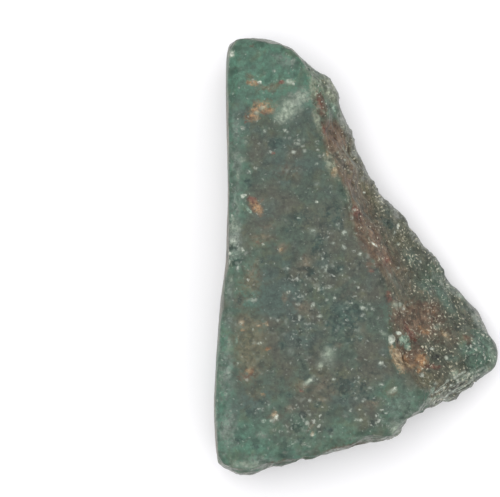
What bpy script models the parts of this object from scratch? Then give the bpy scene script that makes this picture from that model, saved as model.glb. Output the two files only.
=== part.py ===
"""Rough green jade: one wedge-shaped chip, 28 mm long, lying on its sawn back.

Seen from above it is a tall triangle. Its left side and its top are sawn flat. A ridge runs down the
top, and right of it a broken flank slopes away to a thin, layered edge.
"""

import math

import bmesh
import bpy
import numpy as np
from mathutils import Matrix, Vector, noise

MM = 0.001  # every dimension below is in millimetres

THICKNESS = 6.8  # sawn back to sawn top
TOP_TILT = (-0.012, 0.006)  # rise of the top per millimetre along X and Y
COARSE_VOXEL = 0.40  # mesh that is bent to shape
FINE_VOXEL = 0.27  # mesh that gets the broken surface
KEPT_SHARE = 0.215  # of the fine triangles, after flat stretches are thinned out

# The silhouette from above, clockwise from the top left corner, as a smooth closed curve.
OUTLINE = (
    (-8.2, 13.4), (-7.6, 13.9), (-6.3, 14.0), (-5.2, 13.9), (-4.0, 13.2), (-2.9, 12.2), (-1.9, 11.7),
    (-1.3, 10.7), (-0.9, 9.1), (-0.3, 7.6), (0.4, 5.9), (1.6, 3.9), (2.8, 2.7), (3.8, 1.3), (5.1, -0.2),
    (6.1, -1.8), (7.1, -2.8), (8.0, -3.8), (8.5, -5.0), (9.0, -6.0), (8.8, -7.0), (7.9, -7.9), (6.7, -8.8),
    (5.8, -9.3), (4.5, -9.8), (3.3, -10.4), (2.9, -11.0), (2.5, -11.6), (0.9, -12.0), (-1.0, -12.4),
    (-3.2, -13.1), (-5.7, -13.6), (-7.0, -14.0), (-8.0, -13.7), (-8.8, -12.8), (-9.0, -11.3), (-9.0, -7.9),
    (-8.9, -4.8), (-8.6, -2.5), (-8.3, -0.4), (-8.2, 3.6), (-8.2, 6.8), (-8.3, 11.0),
)
OUTLINE_STEPS = 12  # points of the curve between two of those

# The ridge between the sawn top and the broken flank, from above. Its ends run past the silhouette.
RIDGE = (
    (-3.6, 14.6), (-3.0, 12.4), (-2.7, 10.7), (-2.3, 9.3), (-2.1, 7.5), (-1.6, 5.9), (-0.9, 4.6), (-0.3, 3.1),
    (0.1, 1.5), (0.8, 0.4), (1.5, -1.0), (2.0, -2.5), (2.2, -4.1), (2.4, -5.5), (2.7, -7.0), (3.6, -7.9),
    (4.4, -8.8), (4.7, -10.0), (5.0, -11.6),
)

# Height of the flank's outer edge along Y.
EDGE_HEIGHT = (
    (-12.0, 4.8), (-9.6, 4.3), (-8.4, 3.9), (-7.2, 3.2), (-5.5, 2.7), (-2.0, 2.5), (2.5, 2.8), (7.0, 3.4),
    (10.0, 4.2), (12.5, 5.4),
)
FLANK_POWER = 0.86  # under 1, the flank falls faster at the ridge

# Radius of the rounding where the top meets the side, along Y, on the left and at either end.
ROUNDING = ((-14.0, 1.10), (-12.6, 0.70), (-10.5, 0.38), (10.0, 0.32), (12.5, 0.50), (14.0, 0.70))
FLANK_ROUNDING = 0.28

# How far the foot of the side is set in under the silhouette, by the way that the side faces.
FOOT_LEFT, FOOT_RIGHT, FOOT_ENDS = 0.15, 1.25, 0.55
FOOT_REACH = 1.6  # how deep into the stone the setting-in is felt
FOOT_SHARE, FOOT_HIGHEST = 0.75, 3.4  # it starts this far up the side, and never higher than this
FOOT_POWER = 1.4  # over 1, the side is upright at first and draws in faster towards the foot

# Ledges of the layered stone along the upper flank.
LEDGE_SPACING, LEDGE_HEIGHT, LEDGE_LIMITS = 0.62, 0.17, (-3.0, 9.5)

# The groove between the ridge and the knob at the shoulder.
GROOVE_DEPTH, GROOVE_OFFSET, GROOVE_WIDTH, GROOVE_LIMITS = 0.55, 0.35, 0.26, (7.5, 12.0)

# Lumps and hollows: X, Y, radius, height above the surface around it.
LUMPS = (
    (-1.75, 10.5, 1.05, 0.85),
    (-1.0, 8.2, 0.7, 0.20),
    (1.5, 2.9, 0.8, -0.22),
    (3.1, 0.0, 1.0, 0.22),
    (3.9, -1.2, 0.7, -0.18),
    (5.0, -2.8, 1.3, 0.34),
    (6.9, -3.6, 1.1, -0.26),
    (7.7, -5.9, 1.2, 0.42),
    (5.9, -6.2, 1.2, -0.34),
    (5.1, -8.0, 1.0, 0.22),
)

BUMP_FALL = 1.6  # how fast a lump falls off towards its radius

# Chips out of the rim of the sawn top: X, Y, radius, depth.
CHIPS = (
    (2.9, -11.2, 0.85, 0.70),
    (-7.3, -14.1, 1.30, 0.45),
    (-8.5, 13.6, 0.70, 0.45),
    (-8.9, -1.6, 0.55, 0.25),
    (-2.9, 12.6, 0.90, 0.40),
    (0.3, -12.3, 0.70, 0.35),
    (-4.4, -13.5, 0.60, 0.30),
)

# The pit where a flake broke out beside the ridge.
PIT_CENTRE, PIT_RADII, PIT_TURN, PIT_DEPTH = (3.45, -6.15), (1.0, 1.35), math.radians(-22), 0.70

# The steep layered band along the lower right edge.
BAND_CENTRE, BAND_REACH, BAND_WIDTH, BAND_DROP, BAND_STEPS = (6.5, -8.4), 2.6, 0.72, 1.7, 3

# Flat fractures under the rim: a point of each plane, the way that it faces and how far it reaches.
FRACTURES = (
    ((8.4, -5.6, 0.45), (0.66, -0.10, -0.74), 2.4),
    ((5.3, -9.0, 1.00), (0.36, -0.72, -0.60), 2.6),
    ((-0.9, -12.1, 1.10), (0.22, -0.80, -0.56), 4.0),
    ((-6.9, -13.5, 1.30), (-0.12, -0.78, -0.62), 2.6),
    ((-6.2, 13.5, 1.90), (-0.10, 0.80, -0.59), 3.0),
    ((-2.1, 10.9, 1.60), (0.70, 0.38, -0.60), 2.8),
    ((0.7, 4.4, 0.70), (0.70, 0.36, -0.62), 3.4),
    ((5.6, -1.6, 0.55), (0.62, 0.49, -0.61), 3.2),
)

# Smaller flat fractures, scattered over the broken sides and over the flank: how many, how deep each
# cuts in, how far it reaches, how much it is turned away from the surface around it and the most that
# it takes off.
SCATTER_SEED = 7
SIDE_FRACTURES = {"count": 150, "depth": (0.10, 0.32), "reach": (1.1, 2.4), "turn": 0.30, "most": 0.65}
FLANK_FRACTURES = {"count": 90, "depth": (0.02, 0.10), "reach": (0.6, 1.3), "turn": 0.22, "most": 0.28}
FRACTURE_EDGE = 0.75  # share of the reach within which a fracture is quite flat

# Roughness of the broken and of the sawn surfaces: size of the bumps and their height.
BROKEN_SIZE, BROKEN_HEIGHT = 2.1, 0.30
SAWN_SIZE, SAWN_HEIGHT = 5.0, 0.07

# The scattered ones leave alone: the back, which faces down, the sawn side, which faces left, and what
# is this near to the rim or, on the flank, to the ridge.
FACING_DOWN, FACING_LEFT = (-0.92, -0.55), (-0.85, -0.55)
FOOT_KEPT = (0.05, 0.55)
FACING_FLANK = (0.25, 0.50)
RIM_KEPT, EDGE_KEPT, RIDGE_KEPT = (0.25, 0.90), (0.15, 0.60), (0.05, 0.45)

BACK_CUT = 0.06  # what the last cut takes off, which leaves the back exactly flat

JADE_GREEN = (0.10, 0.17, 0.125, 1.0)
JADE_ROUGHNESS = 0.5
SHARP_EDGE = math.radians(38)


def clear_scene():
    for obj in list(bpy.data.objects):
        bpy.data.objects.remove(obj)


def smooth_step(low, high, value):
    share = np.clip((value - low) / (high - low), 0.0, 1.0)
    return share * share * (3.0 - 2.0 * share)


def along(table, value):
    """The second numbers of a table of pairs, at these first numbers."""
    firsts, seconds = zip(*table)
    return np.interp(value, firsts, seconds)


def closed_curve(points, steps):
    """A Catmull-Rom curve through a closed ring of points."""
    ring = np.array(points, float)
    before, after, beyond = np.roll(ring, 1, 0), np.roll(ring, -1, 0), np.roll(ring, -2, 0)
    share = (np.arange(steps) / steps)[None, :, None]
    p0, p1, p2, p3 = (p[:, None, :] for p in (before, ring, after, beyond))
    curve = 0.5 * (
        2.0 * p1
        + (p2 - p0) * share
        + (2.0 * p0 - 5.0 * p1 + 4.0 * p2 - p3) * share**2
        + (3.0 * p1 - p0 - 3.0 * p2 + p3) * share**3
    )
    return curve.reshape(-1, 2)


def nearest_on_line(points, line):
    """For each point: its distance from a line, the nearest place on it and the line's direction there."""
    start, run = line[:-1], np.diff(line, axis=0)
    away = points[:, None, :] - start[None, :, :]
    share = np.clip((away * run).sum(2) / (run * run).sum(1), 0.0, 1.0)
    gap = away - share[:, :, None] * run
    distance = np.sqrt((gap * gap).sum(2))
    best = distance.argmin(1)
    rows = np.arange(len(points))
    place = start[best] + share[rows, best, None] * run[best]
    direction = run[best] / np.linalg.norm(run[best], axis=1)[:, None]
    return distance[rows, best], place, direction


def fractal(points, size, depth, seed):
    """Smooth random heights from about -1 to 1, with features of this size and finer ones in them."""
    shift = Vector((seed * 17.3, seed * 5.9, seed * 11.1))
    return np.array([noise.fractal(Vector(p) / size + shift, 1.0, 2.0, depth) for p in points])


class Rim:
    """Where each point lies in from the silhouette, and which way the side there faces."""

    def __init__(self, points, outline):
        ring = np.vstack([outline, outline[:1]])
        self.inside, place, direction = nearest_on_line(points[:, :2], ring)
        self.inward = np.stack([direction[:, 1], -direction[:, 0]], axis=1)
        self.y = place[:, 1]


def beyond_ridge(points):
    """Distance right of the ridge; negative on the sawn top."""
    line = np.array(RIDGE, float)
    distance, place, direction = nearest_on_line(points[:, :2], line)
    away = points[:, :2] - place
    side = direction[:, 0] * away[:, 1] - direction[:, 1] * away[:, 0]
    return np.where(side > 0.0, distance, -distance)


def edge_rounding(inside, radius):
    """How far a rounded edge lies under the flat, this far in from the side."""
    left = np.clip(radius - inside, 0.0, radius)
    return radius - np.sqrt(np.maximum(radius**2 - left**2, 0.0))


def bump(x, y, centre_x, centre_y, radius):
    reach = np.hypot(x - centre_x, y - centre_y) / radius
    return np.exp(-(reach**2) * BUMP_FALL)


def pit(x, y):
    """Depth of the broken-out flake: steep at its left rim, running out to the right."""
    cos, sin = math.cos(PIT_TURN), math.sin(PIT_TURN)
    dx, dy = x - PIT_CENTRE[0], y - PIT_CENTRE[1]
    across, lengthwise = (cos * dx + sin * dy) / PIT_RADII[0], (cos * dy - sin * dx) / PIT_RADII[1]
    reach = np.hypot(across, lengthwise)
    run_out = 1.0 - smooth_step(-0.7, 0.9, across)
    return PIT_DEPTH * run_out * (1.0 - smooth_step(0.60, 1.0, reach))


def ledges(x, y, ridge):
    """Steps that run along the flank, each with a flat tread and a short riser."""
    steps = ridge / LEDGE_SPACING + 0.25 * np.sin(y * 1.3)
    saw = steps - np.floor(steps)
    profile = smooth_step(0.0, 0.3, saw) - saw
    low, high = LEDGE_LIMITS
    fade = smooth_step(low, low + 2.5, y) * (1.0 - smooth_step(high - 1.5, high, y))
    return LEDGE_HEIGHT * profile * fade * smooth_step(0.1, 0.5, ridge)


def band(x, y, inside):
    """Drop of the layered lower right edge, in steps."""
    near = np.exp(-(((x - BAND_CENTRE[0]) ** 2 + (y - BAND_CENTRE[1]) ** 2) / BAND_REACH**2))
    width = BAND_WIDTH * near + 1e-6
    share = np.clip(1.0 - inside / width, 0.0, 1.0) * BAND_STEPS
    stepped = np.floor(share) + smooth_step(0.25, 0.9, share - np.floor(share))
    facing_down = smooth_step(-6.6, -7.4, y + 0.15 * (x - 6.0))
    return BAND_DROP * near * facing_down * stepped / BAND_STEPS


def top_height(points, rim):
    """Height of the upper surface above the back: the sawn top, or the flank beyond the ridge."""
    x, y = points[:, 0], points[:, 1]
    ridge = beyond_ridge(points)
    sawn = THICKNESS + TOP_TILT[0] * x + TOP_TILT[1] * y
    share = np.clip(ridge / (np.maximum(ridge, 0.0) + rim.inside + 1e-6), 0.0, 1.0)
    fall = (sawn - along(EDGE_HEIGHT, y)) * share**FLANK_POWER
    low, high = GROOVE_LIMITS
    in_groove = np.exp(-(((ridge - GROOVE_OFFSET) / GROOVE_WIDTH) ** 2))
    in_groove *= smooth_step(low, low + 1.0, y) * (1.0 - smooth_step(high - 0.6, high, y))
    height = sawn - fall - GROOVE_DEPTH * in_groove + ledges(x, y, ridge)
    on_flank = smooth_step(0.0, 0.4, ridge)
    for centre_x, centre_y, radius, rise in LUMPS:
        height += rise * on_flank * bump(x, y, centre_x, centre_y, radius)
    for centre_x, centre_y, radius, depth in CHIPS:
        height -= depth * bump(x, y, centre_x, centre_y, radius)
    height -= pit(x, y) + band(x, y, rim.inside)
    radius = np.where(ridge < 0.0, along(ROUNDING, rim.y), FLANK_ROUNDING)
    return height - edge_rounding(rim.inside, radius)


def foot_inset(z, height, rim):
    """How far the side is set in at this height, most at the foot."""
    faces_x, faces_y = -rim.inward[:, 0], -rim.inward[:, 1]
    foot = (
        FOOT_LEFT * np.clip(-faces_x, 0.0, 1.0) ** 2
        + FOOT_RIGHT * np.clip(faces_x, 0.0, 1.0) ** 2
        + FOOT_ENDS * faces_y**2
    )
    widest = np.minimum(height * FOOT_SHARE, FOOT_HIGHEST)
    under = np.clip(1.0 - z / widest, 0.0, 1.0)
    return foot * under**FOOT_POWER * np.exp(-rim.inside / FOOT_REACH)


def bend_to_shape(points, outline):
    """Moves the points of an upright slab to the wedge: lowers its top, then draws in its foot."""
    rim = Rim(points, outline)
    height = top_height(points, rim)
    shaped = points.copy()
    shaped[:, 2] = points[:, 2] / THICKNESS * height
    shaped[:, :2] += rim.inward * foot_inset(shaped[:, 2], height, rim)[:, None]
    return shaped


def break_surface(points, normals, outline):
    """Roughens the broken sides and flank, and only slightly the sawn top and left side."""
    ridge = beyond_ridge(points)
    sawn_top = smooth_step(0.80, 0.97, normals[:, 2]) * smooth_step(0.35, -0.15, ridge)
    sawn_left = smooth_step(0.75, 0.95, -normals[:, 0])
    sawn = np.maximum(sawn_top, sawn_left)
    rough = BROKEN_HEIGHT * fractal(points, BROKEN_SIZE, 4.0, 1.0)
    calm = SAWN_HEIGHT * fractal(points, SAWN_SIZE, 2.0, 2.0)
    back_stays = 1.0 - smooth_step(0.70, 0.95, -normals[:, 2])
    moved = points + normals * ((sawn * calm + (1.0 - sawn) * rough) * back_stays)[:, None]
    # The silhouette holds: nothing is pushed out past it by more than the sawn sides are.
    inside, place, direction = nearest_on_line(moved[:, :2], np.vstack([outline, outline[:1]]))
    away = moved[:, :2] - place
    outside = (direction[:, 0] * away[:, 1] - direction[:, 1] * away[:, 0]) > 0.0
    excess = np.where(outside, np.maximum(inside - SAWN_HEIGHT, 0.0), 0.0)
    moved[:, :2] -= away / np.maximum(inside, 1e-9)[:, None] * excess[:, None]
    return moved


def press(points, point, facing, reach, freedom=1.0, most=None):
    """Presses what stands out past a fracture plane back onto it, fading out at the end of its reach."""
    away = points - point
    near = 1.0 - smooth_step(FRACTURE_EDGE * reach, reach, np.linalg.norm(away, axis=1))
    out = np.maximum(away @ facing, 0.0) * near * freedom
    if most is not None and out.max() > most:
        return points
    return points - out[:, None] * facing


def scatter(points, normals, freedom, settings, rng):
    """Presses small fracture planes into the surface at random places where it is free to move."""
    free = freedom > 0.5
    starts, facings = points[free], normals[free]
    for aim in rng.uniform(starts.min(0), starts.max(0), (settings["count"], 3)):
        nearest = np.linalg.norm(starts - aim, axis=1).argmin()
        facing = facings[nearest] + rng.normal(0.0, settings["turn"], 3)
        facing /= np.linalg.norm(facing)
        point = starts[nearest] - rng.uniform(*settings["depth"]) * facing
        points = press(points, point, facing, rng.uniform(*settings["reach"]), freedom, settings["most"])
    return points


def fracture(points, normals, outline):
    """The large fractures, then the scattered ones of the sides and those of the flank."""
    for point, facing, reach in FRACTURES:
        points = press(points, np.array(point), np.array(facing) / np.linalg.norm(facing), reach)
    rng = np.random.default_rng(SCATTER_SEED)
    rim, ridge = Rim(points, outline), beyond_ridge(points)
    rim_height = np.where(ridge > 0.0, along(EDGE_HEIGHT, points[:, 1]), THICKNESS)
    facing_x, facing_z, z = normals[:, 0], normals[:, 2], points[:, 2]
    broken = smooth_step(*FACING_LEFT, facing_x) * smooth_step(*FACING_DOWN, facing_z)
    side = broken * smooth_step(*RIM_KEPT, rim_height - z) * smooth_step(*FOOT_KEPT, z)
    sloping = smooth_step(*FACING_FLANK, facing_z)
    flank = sloping * smooth_step(*RIDGE_KEPT, ridge) * smooth_step(*EDGE_KEPT, rim.inside)
    points = scatter(points, normals, side, SIDE_FRACTURES, rng)
    return scatter(points, normals, flank, FLANK_FRACTURES, rng)


def arrays_of(mesh):
    points = np.empty(len(mesh.vertices) * 3)
    normals = np.empty(len(mesh.vertices) * 3)
    mesh.vertices.foreach_get("co", points)
    mesh.vertices.foreach_get("normal", normals)
    return points.reshape(-1, 3), normals.reshape(-1, 3)


def with_modifier(mesh, kind, **settings):
    """A new mesh, as this one is after one modifier."""
    helper = bpy.data.objects.new("helper", mesh)
    bpy.context.scene.collection.objects.link(helper)
    modifier = helper.modifiers.new(kind.title(), kind)
    for name, value in settings.items():
        setattr(modifier, name, value)
    graph = bpy.context.evaluated_depsgraph_get()
    made = bpy.data.meshes.new_from_object(helper.evaluated_get(graph))
    bpy.data.objects.remove(helper)
    return made


def moved_mesh(mesh, points):
    mesh.vertices.foreach_set("co", points.ravel())
    mesh.update()
    return mesh


def slab(outline):
    """The outline as an upright slab with a flat top, which is bent to shape afterwards."""
    shape = bmesh.new()
    foot = shape.faces.new([shape.verts.new((x, y, 0.0)) for x, y in outline])
    foot.normal_update()
    if foot.normal.z > 0.0:
        foot.normal_flip()
    top = bmesh.ops.extrude_face_region(shape, geom=[foot])
    raised = [item for item in top["geom"] if isinstance(item, bmesh.types.BMVert)]
    bmesh.ops.translate(shape, verts=raised, vec=(0.0, 0.0, THICKNESS))
    bmesh.ops.recalc_face_normals(shape, faces=shape.faces)
    mesh = bpy.data.meshes.new("slab")
    shape.to_mesh(mesh)
    shape.free()
    return mesh


def saw_back(mesh):
    """Cuts the back off flat and sets it on the ground plane, with the middle of the stone over the origin."""
    shape = bmesh.new()
    shape.from_mesh(mesh)
    bmesh.ops.bisect_plane(
        shape,
        geom=list(shape.verts) + list(shape.edges) + list(shape.faces),
        dist=1e-5,
        plane_co=(0.0, 0.0, BACK_CUT),
        plane_no=(0.0, 0.0, -1.0),
        clear_outer=True,
    )
    open_edges = [edge for edge in shape.edges if edge.is_boundary]
    bmesh.ops.holes_fill(shape, edges=open_edges)
    bmesh.ops.triangulate(shape, faces=shape.faces)
    corners = np.array([vert.co for vert in shape.verts])
    middle = (corners.min(0) + corners.max(0)) / 2
    bmesh.ops.translate(shape, verts=shape.verts, vec=(-middle[0], -middle[1], -BACK_CUT))
    shape.to_mesh(mesh)
    shape.free()
    return mesh


def jade_material():
    material = bpy.data.materials.new("jade")
    material.use_nodes = True
    shader = material.node_tree.nodes["Principled BSDF"]
    shader.inputs["Base Color"].default_value = JADE_GREEN
    shader.inputs["Roughness"].default_value = JADE_ROUGHNESS
    shader.inputs["Metallic"].default_value = 0.0
    return material


def build_stone():
    outline = closed_curve(OUTLINE, OUTLINE_STEPS)
    mesh = with_modifier(slab(outline), "REMESH", mode="VOXEL", voxel_size=COARSE_VOXEL)
    points, _ = arrays_of(mesh)
    moved_mesh(mesh, bend_to_shape(points, outline))
    mesh = with_modifier(mesh, "REMESH", mode="VOXEL", voxel_size=FINE_VOXEL)
    points, normals = arrays_of(mesh)
    moved_mesh(mesh, fracture(break_surface(points, normals, outline), normals, outline))
    mesh = with_modifier(mesh, "DECIMATE", ratio=KEPT_SHARE)
    saw_back(mesh)
    mesh.transform(Matrix.Scale(MM, 4))
    mesh.name = "jade_stone"
    mesh.materials.append(jade_material())
    mesh.shade_smooth()
    mesh.set_sharp_from_angle(angle=SHARP_EDGE)
    stone = bpy.data.objects.new("jade_stone", mesh)
    bpy.context.scene.collection.objects.link(stone)
    return stone


clear_scene()
build_stone()
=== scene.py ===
import math

import bmesh
import bpy
import numpy as np
from mathutils import Matrix, Vector, kdtree, noise


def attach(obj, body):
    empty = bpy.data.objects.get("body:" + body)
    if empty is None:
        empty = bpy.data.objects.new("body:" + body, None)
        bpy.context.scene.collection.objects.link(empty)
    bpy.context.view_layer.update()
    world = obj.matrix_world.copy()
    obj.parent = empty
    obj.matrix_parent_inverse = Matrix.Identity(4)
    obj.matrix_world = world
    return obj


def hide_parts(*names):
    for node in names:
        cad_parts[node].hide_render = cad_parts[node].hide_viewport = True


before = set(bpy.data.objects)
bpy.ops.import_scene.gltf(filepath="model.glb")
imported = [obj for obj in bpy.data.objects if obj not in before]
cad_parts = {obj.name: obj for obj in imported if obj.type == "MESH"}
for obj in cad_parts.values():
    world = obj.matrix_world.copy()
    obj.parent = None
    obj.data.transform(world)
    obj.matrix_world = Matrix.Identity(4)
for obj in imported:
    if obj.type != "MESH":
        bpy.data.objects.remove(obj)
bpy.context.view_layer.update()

# Rough green jade, seen from above. The solid's own mesh is refined here, gets the fine relief of
# its sawn and broken faces, and is coloured by nodes. Dimensions are in millimetres, except where a
# name ends in _PX (pixels of the photograph) or in _M (metres).

MM = 0.001

VOXEL = 0.115  # of the refined mesh
SOFTENING = 5  # rounds of smoothing that take the solid's facets out
CELL = 0.18  # of the grid with which the stone's outline is found
BACK_LEVEL = 0.02  # below this the stone is cut off flat, as its back is

# The ridge between the sawn top and the broken flank, from above.
RIDGE = (
    (-3.6, 14.6), (-3.0, 12.4), (-2.7, 10.7), (-2.3, 9.3), (-2.1, 7.5), (-1.6, 5.9),
    (-0.9, 4.6), (-0.3, 3.1), (0.1, 1.5), (0.8, 0.4), (1.5, -1.0), (2.0, -2.5),
    (2.2, -4.1), (2.4, -5.5), (2.7, -7.0), (3.6, -7.9), (4.4, -8.8), (4.7, -10.0),
    (5.0, -11.6),
)

# Where the layered band lies along the lower right edge: its middle, its direction and its reach.
BAND_MIDDLE = (6.4, -8.5)
BAND_TURN = math.radians(30)
BAND_LENGTH, BAND_WIDTH = 3.0, 0.95

# Refining shrinks the stone a little. Its sides go back out by this much, apart from those that
# face straight towards -Y, and at these places by more or by less: X, Y, radius, distance.
SWELL = 0.11
SWELLS = (
    (-0.8, 9.3, 0.60, 0.24),
    (0.2, 5.6, 1.10, 0.16),
    (6.5, -8.9, 1.30, 0.24),
    (9.0, -6.6, 1.20, 0.08),
    (-8.6, -13.3, 0.80, 0.16),
    (-2.6, 11.7, 1.40, -0.20),
    (-3.7, 12.9, 0.80, -0.14),
    (-1.6, 10.9, 0.70, -0.10),
    (-0.4, 8.4, 0.60, -0.12),
    (6.2, -1.8, 0.80, -0.16),
    (8.3, -4.4, 1.20, -0.16),
    (-8.9, -4.4, 1.60, -0.08),
    (-4.9, -13.4, 1.60, 0.15),
    (-6.4, 14.2, 1.80, -0.13),
    (-0.2, -12.2, 0.80, 0.10),
    (7.6, -7.8, 0.90, 0.08),
    (5.2, -9.8, 0.60, -0.06),
)

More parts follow.
